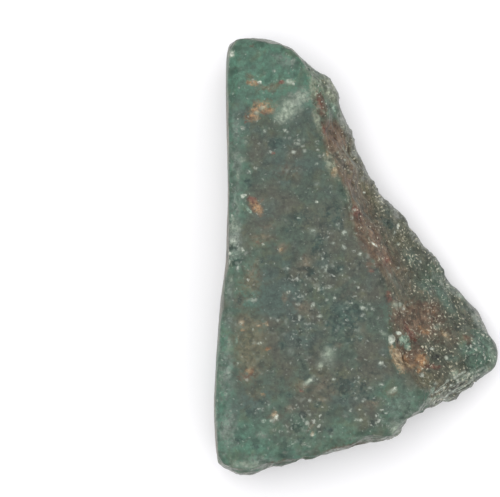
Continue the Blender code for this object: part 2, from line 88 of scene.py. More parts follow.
# The marks by kind, each an ellipse: X, Y, the radius along it and across it (all four in
# hundredths of a millimetre), its turn in degrees, and its strength.
MARK_UNITS = 100
MARKS = {
    "haze": (
        (-734, -440, 45, 32, 0, 0.5), (197, 292, 58, 32, -50, 0.3), (-323, -1262, 90, 19, 8, 0.5),
        (-8, -1166, 83, 26, 12, 0.4), (-316, 1211, 58, 39, -45, 0.5), (512, -132, 58, 39, -50, 0.4),
        (698, -324, 58, 39, -50, 0.4), (-792, 119, 71, 39, 80, 0.9), (-798, 222, 58, 26, 90, 0.5),
        (-804, 716, 39, 26, 90, 0.5), (-772, 427, 26, 17, 30, 0.6), (-708, 742, 29, 26, 0, 0.7),
        (-419, -613, 23, 23, 0, 0.7), (-464, -498, 19, 17, 0, 0.6), (-605, -1146, 32, 22, 0, 0.9),
        (-162, -1127, 26, 26, 0, 0.8), (-374, -1249, 28, 19, 0, 0.6), (-458, -1262, 19, 13, 0, 0.6),
        (-843, -1153, 23, 26, 0, 0.5), (-849, -1275, 28, 19, 0, 0.6), (-104, 196, 26, 39, 30, 0.6),
        (-252, 466, 24, 24, 0, 0.6), (-188, -678, 51, 45, 30, 0.9), (-278, 164, 29, 23, 0, 0.8),
        (-66, -1018, 22, 19, 0, 0.6), (11, -472, 39, 45, 0, 0.5), (-567, -947, 23, 23, 0, 0.7),
        (-361, 1018, 58, 39, 20, 0.7), (-188, -87, 26, 39, 70, 0.5), (-618, -29, 32, 22, 0, 0.7),
        (-400, 1262, 51, 19, -40, 0.4), (-772, -440, 19, 45, 0, 0.5), (-849, -511, 19, 39, 60, 0.5),
        (-862, -922, 15, 58, 0, 0.3), (-792, -1018, 19, 13, 0, 0.5),
        (-342, -1114, 26, 13, -20, 0.5), (-72, 157, 26, 26, 0, 0.6),
    ),
    "tan": (
        (602, -523, 71, 45, -45, 1), (-631, 999, 58, 26, 10, 0.3), (499, -228, 58, 39, -50, 0.2),
        (-438, -228, 58, 45, 20, 0.1), (-162, 600, 83, 26, -72, 1), (486, -350, 64, 51, -15, 1),
        (525, -292, 64, 26, -60, 0.6), (-72, 620, 193, 51, -62, 0.9),
        (-149, 1069, 103, 45, -72, 0.5), (50, 414, 103, 51, -55, 0.7),
        (-669, -119, 77, 103, 0, 0.6), (-747, -279, 51, 90, 0, 0.4), (-323, -35, 32, 51, 0, 0.9),
        (-605, 125, 77, 26, 0, 0.9), (-477, 55, 39, 32, 50, 0.9), (-342, -331, 58, 45, 0, 0.8),
        (-458, -260, 26, 51, 0, 0.6), (-657, -440, 96, 26, 0, 0.9), (-708, -408, 45, 32, 0, 0.6),
        (-631, -562, 58, 32, 70, 0.5), (-220, -832, 77, 32, 50, 0.7), (-220, -922, 58, 22, 10, 0.8),
        (-425, -979, 39, 32, 0, 0.7), (108, -947, 39, 32, 0, 0.9), (-284, -1082, 26, 51, -30, 0.7),
        (-522, -1037, 45, 39, 0, 0.7), (-669, -742, 64, 39, 0, 0.7), (-432, 556, 90, 51, 0, 0.5),
        (-554, 202, 90, 51, 20, 0.4), (-567, 1082, 64, 26, -10, 0.6), (-522, 967, 39, 26, 40, 0.7),
        (-104, -568, 58, 26, 10, 0.4), (-143, -870, 58, 39, 0, 0.5), (24, -658, 64, 19, 0, 0.3),
    ),
    "fleck": (
        (-708, 19, 12, 14, 0, 0.56), (-740, -427, 13, 10, 0, 0.56), (-586, -424, 14, 10, 0, 0.56),
        (-580, 1178, 12, 10, 0, 0.78), (-522, 1191, 13, 10, 0, 0.78), (-400, 1262, 12, 10, 0, 1),
        (-509, 1300, 12, 10, 0, 0.34), (-599, 1024, 11, 10, 0, 0.34), (-727, 825, 14, 11, 0, 1),
        (-586, 806, 13, 11, 0, 0.78), (-451, 806, 17, 11, -50, 0.78), (-458, 761, 12, 10, 0, 0.56),
        (-425, 761, 11, 10, 0, 0.56), (-374, 735, 18, 14, 0, 1), (-342, 710, 13, 10, 0, 0.56),
        (-329, 678, 12, 10, 0, 0.78), (-400, 671, 12, 10, 0, 1), (-246, 735, 15, 11, 0, 0.78),
        (-246, 684, 12, 10, 0, 0.56), (-233, 645, 12, 10, 0, 0.56), (-252, 594, 12, 10, 0, 0.78),
        (-554, 671, 12, 10, 0, 0.78), (-689, 543, 13, 11, 0, 1), (-644, 568, 13, 10, -30, 0.78),
        (-496, 478, 12, 10, 0, 0.34), (-779, 440, 17, 10, -50, 0.12), (-785, 100, 25, 18, 0, 0.78),
        (-740, 48, 15, 11, 0, 1), (-830, 16, 15, 10, 0, 0.78), (-795, 16, 12, 15, 0, 0.78),
        (-592, 80, 13, 10, 0, 0.56), (-355, -16, 13, 10, 0, 0.78), (-759, -93, 11, 10, 0, 0.34),
        (-753, -138, 11, 14, 0, 0.12), (-657, -279, 18, 10, 0, 1), (-432, -228, 12, 10, 0, 1),
        (-400, -267, 19, 10, -40, 0.56), (-348, -254, 11, 10, 0, 0.56),
        (-374, -308, 13, 10, 0, 0.78), (-278, -318, 18, 10, 70, 1), (-361, -389, 12, 11, 0, 1),
        (-233, -382, 17, 10, 0, 0.78), (-541, -395, 15, 10, 0, 0.78),
        (-503, -408, 20, 10, -60, 0.56), (-419, -684, 20, 10, -60, 0.12),
        (-618, -556, 14, 10, 0, 1), (-657, -620, 11, 11, 0, 0.56), (-734, -645, 13, 10, 0, 0.34),
        (-702, -793, 13, 10, 0, 0.78), (-567, -735, 11, 10, 0, 0.78), (-817, -748, 12, 10, 0, 0.56),
        (-284, -793, 14, 10, 0, 1), (-316, -819, 13, 10, 40, 0.78), (-226, -729, 12, 10, 0, 0.78),
        (-117, 209, 11, 11, 0, 0.78), (-162, 196, 11, 10, 0, 0.34), (-275, 164, 18, 12, 0, 0.56),
        (-75, 154, 13, 12, 0, 1), (-143, 83, 11, 10, 0, 0.56), (-79, 61, 15, 10, -40, 1),
        (-169, 42, 19, 10, 0, 0.12), (-14, 35, 12, 10, 0, 0.78), (27, 16, 13, 11, 0, 1),
        (-188, -61, 12, 10, 0, 0.78), (-197, -83, 12, 10, 0, 1), (-149, -61, 11, 10, 0, 0.34),
        (-214, -119, 11, 11, 0, 0.12), (-85, -119, 11, 10, 0, 0.56), (-47, -138, 11, 10, 0, 0.56),
        (-368, -151, 15, 10, -25, 0.56), (-175, -196, 18, 10, 0, 1),
        (-124, -215, 13, 10, -20, 0.56), (-136, -267, 11, 10, 0, 1), (-188, -279, 12, 10, 0, 0.78),
        (43, -222, 11, 11, 0, 0.78), (43, -331, 17, 10, -20, 1), (43, -376, 15, 10, 0, 0.78),
        (108, -337, 12, 10, -50, 0.78), (140, -395, 12, 10, 0, 0.56), (11, -427, 12, 11, 0, 0.56),
        (-59, -331, 14, 10, 0, 0.34), (-201, -466, 14, 10, -20, 0.56),
        (-303, -433, 19, 10, -20, 0.12), (159, -478, 11, 10, 0, 0.56),
        (197, -408, 11, 12, -60, 0.56), (-136, -594, 17, 12, 0, 0.56), (-40, -607, 12, 10, 0, 0.78),
        (159, -687, 13, 10, 0, 1), (185, -703, 12, 10, 0, 0.78), (88, -671, 11, 10, 0, 0.34),
        (281, -305, 12, 10, 0, 0.78), (307, -337, 12, 10, 0, 0.78), (332, -311, 12, 10, 0, 0.56),
        (262, -337, 12, 10, 0, 0.56), (307, -369, 11, 10, 0, 0.56), (358, -299, 11, 10, 0, 0.34),
        (557, -177, 12, 10, 0, 0.56), (583, -202, 14, 12, 0, 0.78), (249, -857, 12, 10, 0, 0.78),
        (165, -825, 17, 10, -15, 0.78), (88, -844, 13, 10, 0, 0.78), (50, -925, 12, 10, 0, 1),
        (-2, -915, 13, 10, 20, 0.78), (-34, -986, 12, 10, 0, 1), (31, -1050, 12, 10, 0, 1),
        (-2, -1050, 12, 10, 0, 0.78), (127, -1069, 13, 10, 0, 1), (133, -1037, 11, 10, 0, 0.56),
        (63, -1011, 11, 10, 0, 0.56), (-143, -787, 12, 10, 0, 0.78), (-8, -806, 15, 10, 30, 0.34),
        (18, -780, 11, 10, 0, 0.56), (-66, -729, 11, 11, 0, 0.34), (-175, -722, 11, 10, 0, 0.34),
        (-599, -983, 12, 10, 0, 0.78), (-496, -1050, 15, 12, 0, 0.56), (-541, -1056, 12, 10, 0, 1),
        (-592, -1056, 13, 10, 0, 1), (-644, -1005, 11, 10, 0, 0.56), (-522, -1114, 12, 10, 0, 0.78),
        (-483, -1124, 12, 10, 0, 0.78), (-554, -1114, 11, 10, 0, 0.34),
        (-438, -1127, 12, 10, 0, 0.56), (-612, -1146, 17, 10, 0, 0.56), (-348, -1018, 12, 10, 0, 1),
        (-316, -1069, 12, 11, 0, 1), (-381, -1056, 11, 10, 0, 0.34), (-297, -922, 12, 10, 0, 0.78),
        (-278, -1143, 14, 11, 0, 1), (-323, -1204, 17, 10, -10, 1), (-297, -1217, 12, 10, 0, 0.56),
        (-560, -1230, 12, 10, 0, 0.78), (-445, -1185, 13, 10, 0, 0.12),
        (-836, -883, 12, 10, 0, 0.56), (-804, -992, 13, 10, 0, 0.34),
        (-766, -1345, 13, 10, 0, 0.78), (-702, -1345, 13, 10, 0, 0.78),
        (-779, -1378, 17, 10, 0, 0.12), (-676, -1371, 17, 10, 0, 0.12), (-8, 299, 12, 10, 0, 0.78),
        (-27, 247, 11, 10, 0, 0.78), (-117, 671, 11, 12, 0, 0.56), (-79, 697, 11, 11, 0, 0.56),
        (-72, 620, 11, 10, 0, 0.56), (-34, 543, 17, 12, 0, 0.34), (-8, 665, 11, 19, 0, 0.56),
        (153, -144, 11, 14, 70, 0.12), (249, 151, 11, 10, 0, 0.78), (390, 3, 12, 10, 0, 0.56),
        (416, -35, 11, 10, 0, 0.78), (352, 48, 12, 10, 0, 0.34), (275, -74, 11, 10, 0, 0.78),
        (275, 80, 12, 10, -40, 0.78), (223, -119, 14, 10, -40, 0.56), (416, -761, 17, 12, 0, 0.56),
        (512, -819, 12, 11, 0, 0.78), (486, -864, 12, 13, 0, 0.78), (448, -934, 11, 10, 0, 0.78),
    ),
    "frost": (
        (-881, -472, 385, 17, 90, 0.7), (-897, -1050, 321, 17, 91, 0.7),
        (-830, 941, 353, 14, 90, 0.6), (-824, 363, 257, 14, 90, 0.6), (268, -1069, 58, 58, 0, 0.9),
        # The marks at (8.65, -5.68), (8.01, -4.21), (6.73, -2.28), (5.76, -1.12) and (8.40, -7.29)
        # lie along the right outline: there the frost is a painted sheen of grazing light.
        (345, -999, 58, 26, 25, 0.8), (435, -960, 64, 26, 25, 0.7), (865, -568, 103, 26, -80, 0.8),
        (801, -421, 96, 32, -48, 0.9), (673, -228, 103, 32, -45, 0.95),
        (576, -112, 51, 19, -52, 0.6), (840, -729, 64, 26, 40, 0.7), (-772, 844, 116, 32, 90, 0.7),
        (-772, 588, 128, 39, 90, 0.8), (-772, 331, 141, 39, 90, 0.75),
        (-779, 119, 193, 51, 90, 0.8), (-817, -215, 103, 32, 88, 0.7),
        (-824, -408, 77, 39, 88, 0.6), (-836, -742, 167, 51, 88, 0.9),
        (-824, -1114, 128, 58, 88, 0.9), (-605, -1320, 128, 45, -8, 0.8),
        (268, -973, 103, 51, 20, 0.5), (-361, 1018, 90, 58, 20, 0.7),
        (-458, 1262, 128, 51, -30, 0.4),
    ),
    "olive": (
        (-631, 1101, 58, 26, 5, 0.3), (-637, -35, 51, 64, 0, 0.25), (-605, 132, 83, 39, 5, 0.15),
        (-130, 1108, 83, 45, -66, 0.6), (-40, 633, 154, 39, -62, 0.6), (75, 427, 90, 39, -50, 0.7),
        (-682, -183, 90, 103, 0, 0.5), (-676, 1153, 39, 26, 0, 0.6), (-509, 1101, 39, 22, 0, 0.7),
        (-541, 1082, 167, 26, 0, 0.35), (-425, 511, 77, 32, 10, 0.45), (-631, 87, 90, 51, 0, 0.45),
        (-682, -575, 90, 180, 0, 1), (-220, -735, 58, 39, 30, 0.7), (230, -877, 51, 39, 20, 0.5),
        (-650, -889, 90, 51, 0, 0.35), (-361, -825, 116, 77, 30, 0.35),
        (140, 389, 77, 58, -45, 0.7), (294, 106, 77, 58, -50, 0.5), (461, -793, 77, 58, -10, 0.8),
    ),
    "moss": (
        (242, -157, 96, 39, -62, 0.15), (146, 35, 83, 39, -40, 0.1), (75, 183, 51, 32, -60, 0.1),
        (-226, 1108, 51, 32, -60, 0.7), (-734, -440, 39, 32, 0, 0.1),
        (-37, 324, 167, 15, -79.5, 0.85), (-271, 1069, 128, 28, -82, 0.95),
        (-246, 870, 83, 23, -70, 0.95), (-162, 1069, 103, 51, -75, 1), (-27, 1108, 90, 64, -60, 1),
        (-59, 1185, 51, 45, -50, 0.9), (-85, 864, 90, 26, -68, 0.6), (-162, 588, 83, 32, -72, 1),
        (-53, 748, 103, 19, -68, 0.3), (-111, 491, 39, 19, -50, 0.45),
        (-14, 453, 51, 32, -60, 0.25), (37, 491, 45, 26, -60, 0.2), (-252, 967, 90, 17, -80, 0.5),
        (-2, 132, 51, 14, -65, 0.5), (544, -947, 167, 16, 27, 0.5),
    ),
    "deep": (
        (-47, -543, 83, 51, 20, 0.3), (-124, -755, 58, 45, 0, 0.2), (-361, 247, 167, 77, 10, 0.35),
        (-169, 286, 77, 90, 0, 0.4), (-79, -395, 45, 39, 0, 0.8), (-130, -472, 39, 32, 20, 0.7),
        (24, -517, 39, 32, 0, 0.8), (-27, -453, 32, 26, 0, 0.7), (-188, -440, 32, 26, 0, 0.6),
        (-220, -215, 32, 39, 0, 0.6), (-361, -279, 32, 26, 0, 0.5), (-284, -100, 26, 39, 0, 0.6),
        (-98, -74, 26, 26, 0, 0.6), (-246, -947, 39, 32, 0, 0.7), (-72, -889, 45, 32, 20, 0.8),
        (101, -909, 39, 26, 0, 0.7), (-169, -1114, 39, 26, 0, 0.6), (-425, -889, 32, 26, 0, 0.6),
        (-605, -934, 32, 26, 0, 0.6), (-361, -1191, 39, 26, 0, 0.6), (-695, -999, 32, 32, 0, 0.6),
        (-747, -1178, 32, 39, 0, 0.6), (-644, -1223, 39, 26, 0, 0.6), (-477, -1281, 32, 19, 0, 0.5),
        (-201, -1223, 26, 19, 0, 0.5), (-445, 170, 32, 26, 0, 0.4), (-772, -35, 19, 32, 0, 0.6),
        (-747, -279, 26, 39, 0, 0.4), (-169, -568, 39, 26, 0, 0.5), (-477, -568, 39, 32, 0, 0.5),
        (-515, 729, 51, 35, 0, 0.8), (-695, 472, 29, 45, 0, 0.8), (-66, -395, 141, 103, 40, 0.8),
        (-40, -832, 154, 90, 0, 0.6), (-246, 74, 128, 64, 60, 0.4), (-117, 267, 58, 141, 0, 0.4),
        (204, 215, 64, 32, -30, 0.6), (-181, 986, 22, 51, 0, 0.35), (-361, -151, 64, 39, 30, 0.35),
        (-605, -35, 39, 58, 0, 0.4),
    ),
    "teal": (
        (-220, 286, 51, 77, 0, 0.1), (-156, 960, 45, 90, 14, 0.8), (-98, 877, 26, 51, 20, 0.5),
        (358, -10, 90, 51, -48, 0.35), (448, -202, 77, 45, -45, 0.35),
        (576, -279, 109, 32, -57, 0.85), (795, -568, 77, 116, -60, 1), (634, -658, 64, 32, 0, 0.5),
        (294, -934, 154, 83, 20, 0.6),
    ),
    "brown": (
        (307, -395, 58, 77, 0, 0.12), (486, -344, 58, 51, -15, 0.85), (718, -530, 58, 35, 5, 0.75),
        (-98, 755, 83, 39, -68, 0.85), (-40, 472, 83, 39, -60, 0.6), (-226, 973, 90, 30, -76, 0.9),
        (-201, 832, 51, 26, -60, 0.6), (127, 119, 116, 39, -58, 0.8), (191, -35, 77, 39, -60, 0.8),
        (-143, 774, 96, 51, -74, 1), (-34, 588, 116, 26, -65, 0.5), (18, 209, 109, 39, -70, 1),
        (11, 247, 77, 32, -68, 1), (133, 42, 96, 58, -35, 1), (101, -48, 58, 39, 0, 0.5),
        (397, -408, 167, 96, -25, 1), (345, -626, 103, 71, -45, 1), (326, -671, 64, 45, -40, 1),
        (242, -177, 90, 26, -60, 0.03), (454, -318, 77, 45, -20, 0.6), (-580, 928, 71, 32, 15, 0.5),
        (-708, -780, 58, 45, 0, 0.5), (-605, 356, 45, 32, 45, 0.4), (-631, 93, 58, 26, 0, 0.3),
        (-329, -832, 58, 32, 40, 0.3), (-40, -1223, 244, 26, 12, 0.6),
        (-458, -1313, 167, 19, 9, 0.3),
    ),
    "rust": (
        (-618, 954, 64, 32, 28, 1), (-669, 896, 45, 26, 20, 0.9), (-554, 941, 39, 26, 0, 0.6),
        (-663, 1114, 39, 21, 0, 0.8), (-824, 1313, 13, 32, 0, 0.6), (-657, 344, 32, 26, -40, 0.8),
        (-637, 311, 51, 29, -58, 0.9), (-689, -735, 32, 26, 0, 0.6), (-727, -440, 19, 13, 0, 0.4),
        (-580, -427, 26, 15, 0, 0.5), (-727, -472, 26, 19, 0, 0.3), (-567, -594, 32, 19, 0, 0.4),
        (422, -671, 35, 45, 10, 1), (371, -703, 26, 19, 0, 0.6), (442, -478, 45, 32, 0, 0.5),
        (480, -356, 39, 26, -15, 0.25), (409, -459, 26, 19, 0, 0.5), (313, -658, 64, 32, -40, 0.45),
        (403, -735, 19, 26, 0, 0.6),
    ),
    "red": (
        (-477, 1121, 19, 14, 0, 1), (-528, 665, 17, 14, 0, 0.7), (-708, 864, 19, 13, 0, 0.6),
        (-669, 369, 32, 19, -30, 0.9), (-348, -864, 19, 12, 0, 0.7), (210, -254, 32, 17, -80, 1),
        (5, 286, 51, 26, -65, 0.8), (197, -22, 39, 32, -60, 0.65), (352, -498, 90, 22, -60, 0.8),
        (499, -710, 51, 19, -5, 0.7), (-233, 986, 64, 23, -78, 0.42), (-207, 812, 39, 15, -70, 0.7),
        (-14, 305, 32, 19, -60, 0.6), (101, -93, 26, 19, 0, 0.6), (-669, 1352, 26, 19, 0, 0.35),
    ),
    "mint": (
        (-689, 299, 51, 12, -50, 0.8), (307, -536, 36, 33, -65, 1), (-143, 954, 71, 32, -72, 0.42),
        (332, -575, 26, 23, -70, 1), (-663, -286, 32, 15, 0, 0.25), (-162, -1159, 16, 16, 0, 0.6),
        (493, -864, 23, 14, 80, 0.9), (-766, -536, 58, 19, 85, 0.3),
    ),
    "pale": (
        # The first three lie along the right outline: a faint painted sheen of grazing light.
        (686, -241, 103, 39, -46, 0.2), (801, -414, 77, 29, -52, 0.15),
        (885, -639, 90, 26, -85, 0.1), (-779, 196, 39, 39, 40, 0.6), (-798, -42, 26, 19, 0, 0.4),
        (-804, -151, 19, 32, 0, 0.4), (-727, 620, 26, 19, 0, 0.4), (-759, 523, 19, 32, 0, 0.4),
        (-811, -568, 19, 39, 0, 0.4), (-432, 947, 90, 64, 38, 0.75), (-470, 896, 51, 32, 20, 0.9),
        (-348, 1024, 64, 51, 30, 0.55), (-605, 954, 26, 13, 30, 0.7), (-637, 922, 19, 13, 0, 0.7),
        (-804, 1300, 22, 22, 0, 0.9), (-425, 1121, 32, 17, 0, 0.8), (-792, 222, 58, 26, 90, 0.4),
        (-792, 87, 26, 32, 0, 0.4), (-682, -279, 39, 15, 15, 0.2), (-181, -620, 45, 39, 30, 0.7),
        (-226, -703, 32, 26, 30, 0.5), (-303, -800, 45, 17, 42, 0.8),
        (-702, -1339, 148, 35, -5, 0.35), (255, -1108, 45, 45, 0, 0.6),
        (634, -755, 39, 29, 40, 0.6), (718, -774, 103, 22, 32, 0.6), (512, -909, 90, 19, 30, 0.4),
        (525, -453, 39, 26, 0, 0.45), (268, -311, 45, 26, 0, 0.5), (185, -498, 39, 15, -20, 0.4),
        (223, -867, 26, 13, 35, 0.6), (236, -864, 32, 15, 30, 0.5),
    ),
    "amber": (
        (-644, 889, 39, 26, 25, 0.45), (-734, -421, 26, 15, 0, 0.5), (-631, -446, 26, 13, 10, 0.5),
        (-573, -440, 19, 13, 0, 0.5), (-759, -523, 13, 32, 0, 0.3), (-483, 48, 29, 19, 55, 0.5),
        (-599, -883, 22, 19, 0, 0.4), (-278, -1140, 22, 14, 80, 0.7), (-136, 543, 35, 22, 75, 0.8),
        (-181, 652, 39, 13, -72, 0.4), (576, -504, 64, 21, -48, 0.55),
        # The mark at (262, -652) is the rim of the pit's hollow: tan, with painted light where the
        # rim catches it.
        (544, -459, 32, 15, -48, 0.4), (262, -652, 90, 28, -66, 1), (294, -716, 32, 19, -30, 0.5),
        (345, -703, 51, 13, -35, 0.6), (448, -690, 15, 15, 0, 0.9), (-522, -1011, 39, 26, 60, 0.5),
    ),
    "chip": (
        (-252, 350, 12, 10, 0, 0.8), (-798, 1300, 14, 19, 0, 0.75), (-438, 1127, 13, 11, 0, 0.7),
        (-403, 1108, 13, 11, 0, 0.7), (-612, 1117, 15, 13, 0, 0.6), (-711, 395, 15, 13, 0, 0.5),
        (228, -536, 25, 19, 80, 1), (275, -494, 18, 13, -20, 1), (114, 80, 29, 8, -35, 0.9),
        (493, -594, 12, 10, 0, 1), (583, -652, 12, 12, 0, 0.9), (429, -761, 15, 14, 0, 0.8),
        (724, -755, 10, 10, 0, 1), (660, -806, 13, 13, 0, 0.8), (252, -844, 13, 11, 0, 0.6),
        (-512, -1031, 19, 13, 65, 0.8), (165, -684, 14, 13, 0, 0.7), (275, 196, 22, 9, 80, 0.8),
        (-727, 389, 17, 13, 0, 0.8), (-727, 35, 12, 12, 0, 0.8), (-811, 22, 15, 13, 0, 0.8),
        (56, 414, 11, 8, 0, 0.9), (-618, 1121, 15, 12, 0, 0.8), (576, -922, 21, 6, 10, 0.9),
        (608, -864, 10, 8, 0, 0.9),
    ),
    # Painted shade: in the hollow of the pit and in the slots of the layered band along the lower
    # right edge.
    "dark": (
        (531, -645, 77, 39, 10, 0.3), (647, -844, 45, 17, 42, 1), (583, -909, 21, 8, 20, 0.9),
        (705, -812, 22, 10, 42, 0.8), (268, -543, 32, 10, 75, 0.6), (474, -729, 26, 19, 0, 0.4),
    ),
}

# Where the stone is greener than in its grey middle: X, Y, radius along X and along Y, strength.
GREEN_ZONES = (
    (-5.4, 12.2, 5.0, 2.9, 1.0),
    (-8.0, 6.0, 1.3, 6.0, 0.7),
    (-7.8, -1.5, 1.8, 3.5, 0.5),
    (-8.6, -7.5, 1.0, 4.5, 0.9),
    (-7.4, -12.0, 3.6, 2.6, 0.9),
    (-2.0, -12.2, 5.0, 1.8, 0.6),
    (3.2, -9.4, 1.9, 1.8, 0.7),
    (8.2, -6.2, 1.7, 2.0, 0.8),
    (5.4, -1.2, 1.6, 1.6, 0.4),
    (-1.6, 9.8, 0.9, 1.3, 0.5),
)

# Where the pale specks under the sawn face are close together, in the same way.
SPECK_ZONES = (
    (-1.4, -2.1, 2.9, 4.8, 1.0),
    (-3.6, -4.7, 1.9, 2.6, 0.6),
    (-3.6, -10.6, 3.2, 1.7, 0.9),
    (-0.4, -9.2, 2.8, 2.0, 0.7),
    (-3.4, 6.8, 2.3, 2.4, 0.5),
    (-7.9, 0.1, 0.6, 1.4, 1.0),
    (-7.7, -3.4, 0.6, 2.0, 0.7),
)

FAR = 3.0  # the reach that stands for no mark near
MARK_LEVELS = (1.8, 0.9)  # the marks fade out from the first level to the second, down the walls
MARK_EDGE = (0.95, 1.10)  # the reach where a hard mark is whole, and where it has gone
MOST = 0.97  # a mark's share in its middle

# How the parts of the stone are told apart: pairs of levels between which a part comes in.
TOP_LEVELS = (5.6, 6.2)
UPPER_FLANK = (-4.5, 0.5)  # in Y: above this the flank is fibrous
RIDGE_WANDER, WANDER_SIZE = 0.16, 0.9  # how far the ridge strays from its line, and how quickly
ZONE_WANDER, ZONE_SIZE = 0.6, 2.2  # the same for the edges of the zones, as a share of their reach

# The fine relief: its shapes' sizes and their heights on each kind of face.
FLAKE_SIZE, GRAIN_SIZE, LUMP_SIZE, WAVE_SIZE = 1.1, 0.36, 0.8, 1.4
FIBRE_STRETCH = (3.4, 0.42, 1.3)  # fibres to a millimetre across the ridge, along it and upwards
LAYER_STRETCH = (0.8, 4.0, 3.2)  # layers to a millimetre along the band, across it and upwards
FLANK_FIBRES, FLANK_FLAKES, FLANK_GRAINS = 0.07, 0.14, 0.045
WALL_LUMPS, WALL_FLAKES, WALL_GRAINS = 0.13, 0.16, 0.030
BAND_LAYERS, BAND_DEPTH = 0.10, 0.02
SAWN_WAVES, SAWN_GRAINS = 0.010, 0.006
UPRIGHT_SHARE = 0.22  # of the relief, left on upright walls so that the outline stays

# The photograph's frame in pixels, and the millimetres that one of them covers on the sawn top.
PIXEL = 28.0 / 436
FRAME_WIDTH_PX, FRAME_HEIGHT_PX = 500, 497
MIDDLE_PX = (356.0, 256.5)  # the pixel above the stone's origin
LENS, SENSOR = 900.0, 36.0  # a long lens, as the photo shows no perspective
TOP_HEIGHT = 6.8
CLIP_M = (0.01, 10.0)  # how near and how far the camera sees

FLOOR_HALF_M = 1.5
FLOOR_COLOUR = (0.93, 0.925, 0.935, 1.0)
SKY_COLOUR = (0.990, 0.985, 1.0, 1.0)
SKY_STRENGTH = 1.10
KEY_PLACE_M, KEY_SIZE_M, KEY_WATTS = (-0.14, 0.22, 1.6), 1.1, 9.0


def smooth_step(low, high, value):
    """0 up to low, 1 from high on, and a smooth rise between them; low may be the larger one."""
    share = np.clip((value - low) / (high - low), 0.0, 1.0)
    return share * share * (3.0 - 2.0 * share)


def fractal(points, octaves, seed):
    """Fractal noise at each point, about -1 to 1, from another place in the noise for each seed."""
    shift = Vector((seed * 17.3, seed * 5.9, seed * 11.1))
    return np.array([noise.fractal(Vector(p) + shift, 1.0, 2.0, octaves) for p in points])


def nearest_on_line(points, line):
    """How far each point is to the right of a line, and how far along it the nearest place is."""
    start, run = line[:-1], np.diff(line, axis=0)
    lengths = np.linalg.norm(run, axis=1)
    away = points[:, None, :] - start[None, :, :]
    share = np.clip((away * run).sum(2) / (run * run).sum(1), 0.0, 1.0)
    gap = away - share[:, :, None] * run
    distance = np.linalg.norm(gap, axis=2)
    best = distance.argmin(1)
    rows = np.arange(len(points))
    side = run[best, 0] * gap[rows, best, 1] - run[best, 1] * gap[rows, best, 0]
    starts = np.concatenate([[0.0], np.cumsum(lengths)])
    along = starts[best] + share[rows, best] * lengths[best]
    return np.where(side > 0.0, distance[rows, best], -distance[rows, best]), along


def turned(points, middle, angle):
    """Each point's place along a direction and across it, from a middle, seen from above."""
    cos, sin = math.cos(angle), math.sin(angle)
    dx, dy = points[:, 0] - middle[0], points[:, 1] - middle[1]
    return cos * dx + sin * dy, cos * dy - sin * dx


def arrays_of(mesh):
    points = np.empty(len(mesh.vertices) * 3)
    normals = np.empty(len(mesh.vertices) * 3)
    mesh.vertices.foreach_get("co", points)
    mesh.vertices.foreach_get("normal", normals)
    return points.reshape(-1, 3), normals.reshape(-1, 3)


def with_modifier(mesh, kind, **settings):
    """A new mesh, as this one is after one modifier."""
    helper = bpy.data.objects.new("helper", mesh)
    bpy.context.scene.collection.objects.link(helper)
    modifier = helper.modifiers.new(kind.title(), kind)
    for name, value in settings.items():
        setattr(modifier, name, value)
    graph = bpy.context.evaluated_depsgraph_get()
    made = bpy.data.meshes.new_from_object(helper.evaluated_get(graph))
    bpy.data.objects.remove(helper)
    return made


class Places:
    """Which part of the stone each point of the mesh belongs to, as shares from 0 to 1.

    Slopes count from 1, where a face looks straight up, by 0, upright, to -1, straight down.
    """

    def __init__(self, points, normals):
        y, z = points[:, 1], points[:, 2]
        up = normals[:, 2]
        beyond, run = nearest_on_line(points[:, :2], np.array(RIDGE))
        wander = RIDGE_WANDER * fractal(points / WANDER_SIZE, octaves=3.0, seed=12.0)
        self.beyond = beyond + wander
        self.by_ridge = np.stack([self.beyond, run, z], axis=1)
        before_ridge = smooth_step(0.80, 0.96, up) * smooth_step(0.20, -0.10, self.beyond)
        self.left = smooth_step(0.82, 0.97, -normals[:, 0])
        self.sawn = np.maximum(before_ridge * smooth_step(*TOP_LEVELS, z), self.left)
        self.back = smooth_step(0.90, 0.99, -up)
        self.flank = smooth_step(-0.05, 0.25, self.beyond) * smooth_step(0.05, 0.35, up)
        free = np.clip(1.0 - self.sawn - self.back - self.flank, 0.0, 1.0)
        self.wall = free * smooth_step(0.55, 0.25, up)
        self.upper = smooth_step(*UPPER_FLANK, y)
        self.sloping = np.maximum(smooth_step(0.15, 0.50, up), smooth_step(-0.05, -0.35, up))
        along, across = turned(points, BAND_MIDDLE, BAND_TURN)
        self.by_band = np.stack([along, across, z], axis=1)
        reach = np.hypot(along / BAND_LENGTH, across / BAND_WIDTH)
        self.band = 1.0 - smooth_step(0.55, 1.0, reach)


def terraced(value, levels):
    """Steps with flat treads and short risers, from a smooth height."""
    steps = value * levels
    return (np.floor(steps) + smooth_step(0.55, 1.0, steps - np.floor(steps))) / levels


